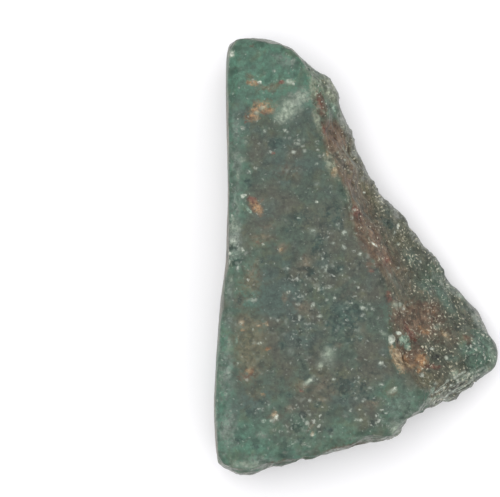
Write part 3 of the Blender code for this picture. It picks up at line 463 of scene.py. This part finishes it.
def relief(points, normals):
    """How far each point is moved along its normal, and how high its grain is, from -1 to 1."""
    places = Places(points, normals)
    ridged = 1.0 - 2.0 * np.abs(fractal(places.by_ridge * FIBRE_STRETCH, octaves=3.0, seed=1.0))
    flakes = terraced(fractal(points / FLAKE_SIZE, octaves=3.0, seed=2.0), levels=6.0)
    grains = fractal(points / GRAIN_SIZE, octaves=2.0, seed=3.0)
    lumps = fractal(points / LUMP_SIZE, octaves=4.0, seed=4.0)
    layers = terraced(fractal(places.by_band * LAYER_STRETCH, octaves=3.0, seed=5.0), levels=3.0)
    waves = fractal(points / WAVE_SIZE, octaves=3.0, seed=6.0)
    fibres = FLANK_FIBRES * ridged * (0.25 + 0.75 * places.upper)
    flank = fibres + FLANK_FLAKES * flakes + FLANK_GRAINS * grains
    wall = WALL_LUMPS * lumps + WALL_FLAKES * flakes + WALL_GRAINS * grains
    band = (BAND_LAYERS * layers - BAND_DEPTH) * places.band * (1.0 - places.sawn)
    rough = places.flank * flank + places.wall * wall + band
    sawn = SAWN_WAVES * waves + SAWN_GRAINS * grains
    kept = UPRIGHT_SHARE + (1.0 - UPRIGHT_SHARE) * places.sloping
    height = places.sawn * sawn + rough * kept
    grain = np.clip(1.2 * grains + 0.8 * ridged * places.upper * places.flank, -1.0, 1.0)
    return height * (1.0 - places.back), grain


def swell(points, normals):
    """How far each point is moved outwards, level with the floor."""
    x, y = points[:, 0], points[:, 1]
    amount = SWELL * smooth_step(-0.85, -0.55, normals[:, 1])
    for middle_x, middle_y, radius, distance in SWELLS:
        gap = (x - middle_x) ** 2 + (y - middle_y) ** 2
        amount = amount + distance * np.exp(-gap / radius ** 2)
    upright = smooth_step(0.95, 0.40, np.abs(normals[:, 2]))
    return normals * (1.0, 1.0, 0.0) * (amount * upright)[:, None]


def cut_back(mesh):
    """Cuts the back off flat and closes it with few triangles."""
    shape = bmesh.new()
    shape.from_mesh(mesh)
    bmesh.ops.bisect_plane(
        shape,
        geom=list(shape.verts) + list(shape.edges) + list(shape.faces),
        dist=1e-5,
        plane_co=(0.0, 0.0, BACK_LEVEL),
        plane_no=(0.0, 0.0, -1.0),
        clear_outer=True,
    )
    bmesh.ops.holes_fill(shape, edges=[edge for edge in shape.edges if edge.is_boundary])
    bmesh.ops.triangulate(shape, faces=[face for face in shape.faces if len(face.verts) > 4])
    bmesh.ops.translate(shape, verts=shape.verts, vec=(0.0, 0.0, -BACK_LEVEL))
    shape.to_mesh(mesh)
    shape.free()


def set_attribute(mesh, name, values):
    kind, field = ("FLOAT_VECTOR", "vector") if values.ndim == 2 else ("FLOAT", "value")
    layer = mesh.attributes.new(name, kind, "POINT")
    layer.data.foreach_set(field, values.astype(np.float32).ravel())


def reach_of_marks(points, normals, marks):
    """How far each point is from the nearest of these marks: 0 in its middle, 1 at its edge.

    A weak mark counts as farther away than it is, which makes it smaller and fainter.
    """
    nearest = np.full(len(points), FAR)
    for *sizes, turn, strength in marks:
        x, y, length, width = (size / MARK_UNITS for size in sizes)
        along, across = turned(points, (x, y), math.radians(turn))
        reach = np.hypot(along / length, across / width)
        nearest = np.minimum(nearest, reach + (1.0 - strength))
    low = smooth_step(*MARK_LEVELS, points[:, 2])
    overhanging = smooth_step(0.30, 0.0, normals[:, 2])
    return nearest + FAR * np.maximum(low, overhanging)


def zone_share(points, zones, seed):
    """How far each point is in one of these zones, from 0 to 1."""
    ragged = fractal(points / ZONE_SIZE, octaves=4.0, seed=seed)
    share = np.zeros(len(points))
    for x, y, reach_x, reach_y, strength in zones:
        reach = np.hypot((points[:, 0] - x) / reach_x, (points[:, 1] - y) / reach_y)
        inner = smooth_step(1.3, 0.35, reach + ZONE_WANDER * ragged)
        share = np.maximum(share, strength * inner)
    return share


def outline_distance(points):
    """How far inside the stone's outline each point lies, seen from above."""
    cells = (points[:, :2] - points[:, :2].min(0)) / CELL
    column, row = np.round(cells).astype(int).T + 1
    taken = np.zeros((column.max() + 2, row.max() + 2), bool)
    taken[column, row] = True
    beside = np.zeros_like(taken)
    for shift, axis in ((1, 0), (-1, 0), (1, 1), (-1, 1)):
        beside |= np.roll(taken, shift, axis)
    outside = np.argwhere(beside & ~taken)
    tree = kdtree.KDTree(len(outside))
    for index, (i, j) in enumerate(outside):
        tree.insert(Vector((i, j, 0.0)), index)
    tree.balance()
    steps = np.array([tree.find(Vector((i, j, 0.0)))[2] for i, j in cells + 1.0])
    return (steps - 0.5) * CELL


def build_stone():
    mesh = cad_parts["jade_stone"].data.copy()
    mesh.materials.clear()
    mesh.transform(Matrix.Scale(1.0 / MM, 4))
    mesh = with_modifier(mesh, "REMESH", mode="VOXEL", voxel_size=VOXEL)
    mesh = with_modifier(mesh, "SMOOTH", factor=0.5, iterations=SOFTENING)
    points, normals = arrays_of(mesh)
    height, grain = relief(points, normals)
    set_attribute(mesh, "grain", grain)
    points += normals * height[:, None] + swell(points, normals)
    mesh.vertices.foreach_set("co", points.ravel())
    mesh.update()
    cut_back(mesh)
    points, normals = arrays_of(mesh)
    places = Places(points, normals)
    for name in ("left", "flank", "wall", "band", "beyond", "by_ridge", "by_band"):
        set_attribute(mesh, name, getattr(places, name))
    set_attribute(mesh, "green", zone_share(points, GREEN_ZONES, seed=9.0))
    set_attribute(mesh, "speckled", zone_share(points, SPECK_ZONES, seed=10.0))
    set_attribute(mesh, "inside", outline_distance(points))
    for kind, marks in MARKS.items():
        set_attribute(mesh, kind, reach_of_marks(points, normals, marks))
    mesh.transform(Matrix.Scale(MM, 4))
    mesh.name = "rough_jade"
    mesh.shade_smooth()
    stone = bpy.data.objects.new("rough_jade", mesh)
    bpy.context.scene.collection.objects.link(stone)
    triangles = sum(len(face.vertices) - 2 for face in mesh.polygons)
    print("stone:", len(mesh.vertices), "vertices,", triangles, "triangles")
    return stone


GREY_GREEN = (0.048, 0.073, 0.053, 1.0)
WARM_GREY = (0.062, 0.067, 0.048, 1.0)
BLUE_GREY = (0.045, 0.073, 0.061, 1.0)
TEAL = (0.055, 0.127, 0.087, 1.0)
OLIVE = (0.072, 0.078, 0.040, 1.0)
FLANK_GREY = (0.066, 0.072, 0.050, 1.0)
FLANK_BROWN = (0.100, 0.072, 0.045, 1.0)
DARK_BROWN = (0.045, 0.038, 0.026, 1.0)
# the painted sheen of grazing light along the outer rim
RIM_SHEEN_GREY = (0.190, 0.200, 0.180, 1.0)
WALL_GREY = (0.118, 0.126, 0.100, 1.0)
ROSE = (0.175, 0.150, 0.118, 1.0)
DARK = (0.009, 0.020, 0.015, 1.0)
DARK_GREEN = (0.012, 0.045, 0.030, 1.0)
PALE = (0.335, 0.375, 0.320, 1.0)
WHITE = (0.560, 0.600, 0.520, 1.0)
# the colour of the painted glints on the broken faces
CREAM = (0.560, 0.535, 0.400, 1.0)

# Each kind of mark: its colour between the granules and on them, how soft its edge is, and how much
# of the stone shows through it.
TINTS = {
    "haze": ((0.090, 0.114, 0.090, 1.0), (0.150, 0.180, 0.145, 1.0), 1.4, 0.5),
    "tan": ((0.080, 0.070, 0.045, 1.0), (0.128, 0.112, 0.078, 1.0), 1.2, 0.5),
    "frost": ((0.092, 0.124, 0.100, 1.0), (0.150, 0.185, 0.155, 1.0), 1.4, 0.5),
    "teal": ((0.058, 0.090, 0.068, 1.0), (0.084, 0.132, 0.100, 1.0), 1.2, 0.3),
    "olive": ((0.074, 0.076, 0.042, 1.0), (0.126, 0.118, 0.070, 1.0), 1.2, 0.35),
    "deep": ((0.014, 0.040, 0.031, 1.0), (0.034, 0.068, 0.054, 1.0), 1.0, 0.4),
    "moss": ((0.100, 0.122, 0.080, 1.0), (0.212, 0.235, 0.172, 1.0), 0.8, 0.3),
    "brown": ((0.088, 0.056, 0.035, 1.0), (0.128, 0.086, 0.056, 1.0), 0.8, 0.3),
    "rust": ((0.155, 0.075, 0.032, 1.0), (0.340, 0.205, 0.100, 1.0), 1.0, 0.45),
    "amber": ((0.200, 0.140, 0.070, 1.0), (0.420, 0.330, 0.210, 1.0), 0.7, 0.4),
    "red": ((0.085, 0.032, 0.022, 1.0), (0.165, 0.080, 0.054, 1.0), 0.8, 0.4),
    "pale": ((0.170, 0.222, 0.165, 1.0), (0.320, 0.370, 0.290, 1.0), 1.5, 0.35),
    "mint": ((0.100, 0.160, 0.116, 1.0), (0.220, 0.310, 0.240, 1.0), 0.5, 0.3),
    # painted shade of the pit's hollow and of the band's slots
    "dark": ((0.018, 0.020, 0.016, 1.0), (0.050, 0.052, 0.042, 1.0), 0.6, 0.3),
    "fleck": ((0.230, 0.265, 0.220, 1.0), (0.400, 0.440, 0.370, 1.0), 1.7, 0.85),
    "chip": ((0.360, 0.400, 0.330, 1.0), (0.600, 0.640, 0.540, 1.0), 0.8, 0.4),
}

# The fine specks, coarse to fine: the noise's scale, its value where a speck begins and where it is
# whole, and the speck's strength and colour.
SPECKS = (
    (1.9, 0.61, 0.80, 0.24, PALE),
    (3.1, 0.63, 0.82, 0.52, WHITE),
    (5.2, 0.60, 0.80, 0.45, PALE),
)

BUMP_M = 0.0001  # the height of the finest relief, which is only shaded
MILKINESS_M = 0.00025  # how deep light goes into the stone


class Paint:
    """Makes shader nodes: each call adds one, joins it to what is given and returns its output."""

    def __init__(self, tree):
        self.tree = tree

    def add(self, kind, inputs, **settings):
        node = self.tree.nodes.new(kind)
        for name, value in settings.items():
            setattr(node, name, value)
        for key, value in inputs.items():
            if isinstance(value, bpy.types.NodeSocket):
                self.tree.links.new(value, node.inputs[key])
            else:
                node.inputs[key].default_value = value
        return node

    def attribute(self, name, vector=False):
        node = self.add("ShaderNodeAttribute", {}, attribute_name=name)
        return node.outputs["Vector" if vector else "Fac"]

    def noise(self, place, scale, detail, roughness, distortion=0.0, output="Fac"):
        """Noise with this many shapes to the unit of the place, and so many octaves of detail."""
        inputs = {
            "Vector": place,
            "Scale": scale,
            "Detail": detail,
            "Roughness": roughness,
            "Distortion": distortion,
        }
        return self.add("ShaderNodeTexNoise", inputs).outputs[output]

    def math(self, operation, first, second):
        return self.add("ShaderNodeMath", {0: first, 1: second}, operation=operation).outputs[0]

    def times(self, first, second):
        return self.math("MULTIPLY", first, second)

    def plus(self, first, second):
        return self.math("ADD", first, second)

    def band(self, value, low, high, start=0.0, end=1.0):
        """Rises smoothly from start to end as the value goes from low to high."""
        inputs = {"Value": value, "From Min": low, "From Max": high, "To Min": start, "To Max": end}
        node = self.add("ShaderNodeMapRange", inputs, interpolation_type="SMOOTHSTEP")
        return node.outputs["Result"]

    def mix(self, share, under, over, blend="MIX"):
        inputs = {"Factor": share, 6: under, 7: over}
        return self.add("ShaderNodeMix", inputs, data_type="RGBA", blend_type=blend).outputs[2]

    def vector(self, operation, *inputs):
        node = self.add("ShaderNodeVectorMath", dict(enumerate(inputs)), operation=operation)
        return node.outputs[0]

    def scaled(self, place, factors):
        return self.vector("MULTIPLY", place, factors)

    def shaded(self, colour, lightness):
        inputs = {0: lightness, 1: lightness, 2: lightness}
        grey = self.add("ShaderNodeCombineColor", inputs).outputs[0]
        return self.mix(1.0, colour, grey, blend="MULTIPLY")

    def warped(self, place, scale, amount):
        """The place, pushed about by noise, so that what is round on it turns irregular."""
        push = self.noise(place, scale, 2.0, 0.55, output="Color")
        centred = self.vector("SUBTRACT", push, (0.5, 0.5, 0.5))
        return self.vector("MULTIPLY_ADD", centred, (amount,) * 3, place)


class Jade(Paint):
    """The fields and noises of the stone, and the coats of its colour, each over the last one."""

    def __init__(self, tree):
        super().__init__(tree)
        metres = self.add("ShaderNodeTexCoord", {}).outputs["Object"]
        self.place = self.scaled(metres, (1.0 / MM,) * 3)
        self.pushed = self.warped(self.place, 5.0, 0.16)
        self.bitten = self.warped(self.warped(self.place, 4.0, 0.20), 9.0, 0.10)
        self.by_ridge = self.attribute("by_ridge", vector=True)
        self.beyond, self.green = self.attribute("beyond"), self.attribute("green")
        self.flank, self.wall = self.attribute("flank"), self.attribute("wall")
        self.broken = self.math("MAXIMUM", self.flank, self.wall)
        self.wisps = self.noise(self.place, 1.1, 3.0, 0.50, 0.4)
        self.mottle = self.noise(self.place, 1.6, 3.0, 0.85, 0.2)
        self.crumbs = self.noise(self.place, 4.6, 3.0, 0.62)
        self.granules = self.band(self.noise(self.pushed, 3.2, 3.0, 0.7), 0.36, 0.62)
        # the noise of the painted glints, also used in the bump
        self.sparkle = self.noise(self.warped(self.place, 7.0, 0.10), 5.6, 2.0, 0.5)

    def body(self):
        """The body: grey-green, teal in its green zones, warmer, bluer and olive in clouds."""
        warm = self.noise(self.place, 0.50, 3.0, 0.50, 0.5)
        blue = self.noise(self.place, 0.36, 3.0, 0.5, 0.6)
        colour = self.mix(self.band(warm, 0.40, 0.62), GREY_GREEN, WARM_GREY)
        colour = self.mix(self.band(blue, 0.48, 0.66, 0.0, 0.8), colour, BLUE_GREY)
        teal = self.times(self.green, self.band(self.wisps, 0.30, 0.52, 0.45, 1.0))
        colour = self.mix(teal, colour, TEAL)
        return self.mix(self.band(self.wisps, 0.50, 0.70, 0.0, 0.45), colour, OLIVE)

    def over_flank(self, colour):
        """The broken flank: dark grey-green, with brown streaks that run along the ridge."""
        bare = self.times(self.flank, self.band(self.green, 0.0, 0.7, 0.9, 0.15))
        colour = self.mix(bare, colour, FLANK_GREY)
        streaks = self.noise(self.scaled(self.by_ridge, (3.2, 0.40, 1.2)), 1.0, 5.0, 0.62, 0.3)
        north = self.add("ShaderNodeSeparateXYZ", {0: self.pushed}).outputs[1]
        near_ridge = self.times(self.flank, self.band(north, 9.0, 8.2))
        near_ridge = self.times(near_ridge, self.band(self.beyond, 2.4, 0.5))
        near_ridge = self.times(near_ridge, self.band(north, -2.2, -0.3, 0.45, 1.0))
        stained = self.times(near_ridge, self.band(streaks, 0.36, 0.56, 0.15, 1.0))
        colour = self.mix(stained, colour, FLANK_BROWN)
        veined = self.times(near_ridge, self.band(streaks, 0.54, 0.70, 0.0, 0.8))
        colour = self.mix(veined, colour, DARK_BROWN)
        clouded = self.times(self.flank, self.band(self.mottle, 0.54, 0.70, 0.0, 0.6))
        return self.mix(clouded, colour, FLANK_BROWN)

    def over_walls(self, colour):
        """The side walls: grey where they are broken, rosy in blotches on the sawn left one."""
        grey = self.times(self.wall, self.band(self.wisps, 0.30, 0.60, 0.25, 0.9))
        colour = self.mix(grey, colour, WALL_GREY)
        blotches = self.noise(self.place, 0.42, 7.0, 0.66, 0.5)
        rosy = self.times(self.attribute("left"), self.band(blotches, 0.38, 0.62, 0.10, 0.80))
        return self.mix(rosy, colour, ROSE)

    def over_marks(self, colour):
        """The marks, darker between their granules, lighter on them, and ragged at their edges."""
        gaps = self.band(self.noise(self.bitten, 4.4, 3.0, 0.6), 0.56, 0.40)
        crumbled = self.band(self.crumbs, 0.30, 0.70, -0.26, 0.26)
        ragged = self.plus(crumbled, self.band(self.mottle, 0.35, 0.65, -0.26, 0.26))
        whole, gone = MARK_EDGE
        for kind, (between, on_grain, softness, through) in TINTS.items():
            reach = self.plus(self.attribute(kind), ragged)
            share = self.band(reach, whole - 0.5 * softness, gone + 0.5 * softness, 1.0, 0.0)
            share = self.times(share, self.band(gaps, 0.0, 1.0, MOST, MOST - through))
            colour = self.mix(share, colour, self.mix(self.granules, between, on_grain))
        return colour

    def over_edges(self, colour):
        """A painted sheen of grazing light along the outer rim, and the layers of the lower right
        edge: pale with painted sheen, and painted shade between them.
        """
        wavy = self.band(self.wisps, 0.3, 0.7, -0.25, 0.25)
        # Painted sheen: the broken faces are lightened near the outline, where grazing light
        # catches the rim.
        rim = self.band(self.plus(self.attribute("inside"), wavy), 0.66, 0.04)
        sheen_grain = self.band(self.granules, 0.0, 1.0, 0.25, 0.85)
        colour = self.mix(self.times(self.times(self.broken, rim), sheen_grain), colour, RIM_SHEEN_GREY)
        by_band = self.attribute("by_band", vector=True)
        layers = self.noise(self.scaled(by_band, (0.9, 5.5, 4.0)), 1.0, 3.0, 0.6, 0.2)
        in_band = self.times(self.attribute("band"), self.broken)
        # Painted light and shade on the layers: a pale sheen of grazing light on them, and dark
        # shade in the slots between them.
        pale = self.times(in_band, self.band(layers, 0.47, 0.64, 0.0, 0.78))
        slots = self.times(in_band, self.band(layers, 0.44, 0.34, 0.0, 0.62))
        return self.mix(slots, self.mix(pale, colour, PALE), DARK)

    def over_grain(self, colour):
        """Light and shade from grain to grain, and on broken faces from fibre to fibre."""
        mottling = self.plus(self.band(self.mottle, 0.32, 0.68, -0.28, 0.30), 1.0)
        crumbled = self.band(self.crumbs, 0.28, 0.72, -0.22, 0.22)
        crumbled = self.times(crumbled, self.band(self.broken, 0.0, 1.0, 0.75, 1.0))
        colour = self.shaded(colour, self.times(mottling, self.plus(crumbled, 1.0)))
        hollows = self.plus(self.times(self.attribute("grain"), 0.22), 1.0)
        colour = self.mix(self.broken, colour, self.shaded(colour, hollows))
        fibres = self.noise(self.scaled(self.by_ridge, (7.0, 0.9, 2.4)), 1.0, 3.0, 0.6, 0.3)
        fibres = self.band(fibres, 0.30, 0.70, 0.78, 1.22)
        return self.mix(self.broken, colour, self.shaded(colour, fibres))

    def over_specks(self, colour):
        """Dark and white specks, closer together in the speckled zones, fewer on broken faces."""
        dense = self.band(self.noise(self.place, 0.45, 3.0, 0.6), 0.38, 0.62, 0.40, 1.50)
        speckled = self.attribute("speckled")
        dense = self.times(dense, self.band(speckled, 0.0, 1.0, 0.50, 1.30))
        shadows = self.band(self.noise(self.bitten, 1.7, 2.2, 0.50), 0.46, 0.32)
        shadows = self.times(shadows, self.band(dense, 0.2, 1.9, 0.40, 0.80))
        colour = self.mix(shadows, colour, self.mix(self.green, DARK, DARK_GREEN))
        calm = self.band(self.broken, 0.0, 1.0, 1.0, 0.35)
        for scale, low, high, strength, speck_colour in SPECKS:
            specks = self.noise(self.bitten, scale, 1.5, 0.45)
            specks = self.plus(specks, self.band(dense, 0.2, 1.9, -0.05, 0.02))
            specks = self.times(self.band(specks, low, high), calm)
            colour = self.mix(self.times(specks, strength), colour, speck_colour)
        return colour

    def over_glints(self, colour):
        """Painted glints on the broken faces: crisp dots of light off crystal facets, painted
        cream, and white in green zones.
        """
        gathered = self.noise(self.place, 0.70, 3.0, 0.6)
        gathered = self.band(gathered, 0.38, 0.62, -0.045, 0.030)
        gathered = self.plus(gathered, self.band(self.beyond, 0.4, 2.6, -0.035, 0.0))
        # Painted highlights: the glints are light off crystal facets, painted into the colour.
        glints = self.band(self.plus(self.sparkle, gathered), 0.56, 0.74)
        glints = self.times(self.broken, glints)
        glints = self.times(glints, self.band(self.green, 0.0, 0.8, 0.68, 0.58))
        return self.mix(glints, colour, self.mix(self.green, CREAM, WHITE))

    def bump(self):
        """The finest grain, and the crumbs and glints of the broken faces, as relief."""
        fine = self.times(self.noise(self.place, 9.0, 3.0, 0.6), 0.20)
        coarse = self.plus(self.crumbs, self.times(self.sparkle, 0.7))
        height = self.plus(fine, self.times(coarse, self.broken))
        inputs = {"Height": height, "Strength": 0.8, "Distance": BUMP_M}
        return self.add("ShaderNodeBump", inputs).outputs["Normal"]


def jade_material():
    material = bpy.data.materials.new("jade")
    material.use_nodes = True
    tree = material.node_tree
    shader = tree.nodes["Principled BSDF"]
    jade = Jade(tree)
    colour = jade.body()
    for coat in (
        jade.over_flank, jade.over_walls, jade.over_marks, jade.over_edges,
        jade.over_grain, jade.over_specks, jade.over_glints,
    ):
        colour = coat(colour)
    tree.links.new(colour, shader.inputs["Base Color"])
    tree.links.new(jade.bump(), shader.inputs["Normal"])
    tree.links.new(jade.band(jade.mottle, 0.3, 0.7, 0.36, 0.50), shader.inputs["Roughness"])
    shader.inputs["IOR"].default_value = 1.6
    shader.inputs["Specular IOR Level"].default_value = 0.22
    shader.inputs["Subsurface Weight"].default_value = 0.12
    shader.inputs["Subsurface Radius"].default_value = (0.7, 1.0, 0.8)
    shader.inputs["Subsurface Scale"].default_value = MILKINESS_M
    return material


def floor_material():
    material = bpy.data.materials.new("pale_floor")
    material.use_nodes = True
    shader = material.node_tree.nodes["Principled BSDF"]
    shader.inputs["Base Color"].default_value = FLOOR_COLOUR
    shader.inputs["Roughness"].default_value = 0.9
    shader.inputs["Specular IOR Level"].default_value = 0.1
    return material


def build_floor():
    mesh = bpy.data.meshes.new("floor")
    half = FLOOR_HALF_M
    corners = [(-half, -half, 0), (half, -half, 0), (half, half, 0), (-half, half, 0)]
    mesh.from_pydata(corners, [], [(0, 1, 2, 3)])
    mesh.materials.append(floor_material())
    floor = bpy.data.objects.new("floor", mesh)
    bpy.context.scene.collection.objects.link(floor)


def area_light(name, place, size, power):
    lamp = bpy.data.lights.new(name, "AREA")
    lamp.shape = "SQUARE"
    lamp.size = size
    lamp.energy = power
    obj = bpy.data.objects.new(name, lamp)
    obj.location = place
    obj.rotation_euler = (-Vector(place)).to_track_quat("-Z", "Y").to_euler()
    bpy.context.scene.collection.objects.link(obj)


def light_scene():
    world = bpy.data.worlds.new("studio")
    bpy.context.scene.world = world
    world.use_nodes = True
    background = world.node_tree.nodes["Background"]
    background.inputs["Color"].default_value = SKY_COLOUR
    background.inputs["Strength"].default_value = SKY_STRENGTH
    area_light("key_light", KEY_PLACE_M, KEY_SIZE_M, KEY_WATTS)
    bpy.context.scene.view_settings.view_transform = "Standard"


def place_camera():
    data = bpy.data.cameras.new("camera")
    data.lens, data.sensor_width = LENS, SENSOR
    width = FRAME_WIDTH_PX * PIXEL
    height = width * LENS / SENSOR + TOP_HEIGHT
    camera = bpy.data.objects.new("camera", data)
    x = (FRAME_WIDTH_PX / 2 - MIDDLE_PX[0]) * PIXEL
    y = (MIDDLE_PX[1] - FRAME_HEIGHT_PX / 2) * PIXEL
    camera.location = (x * MM, y * MM, height * MM)
    data.clip_start, data.clip_end = CLIP_M
    bpy.context.scene.collection.objects.link(camera)
    bpy.context.scene.camera = camera


stone = build_stone()
stone.data.materials.append(jade_material())
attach(stone, "root")
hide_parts("jade_stone")
build_floor()
light_scene()
place_camera()
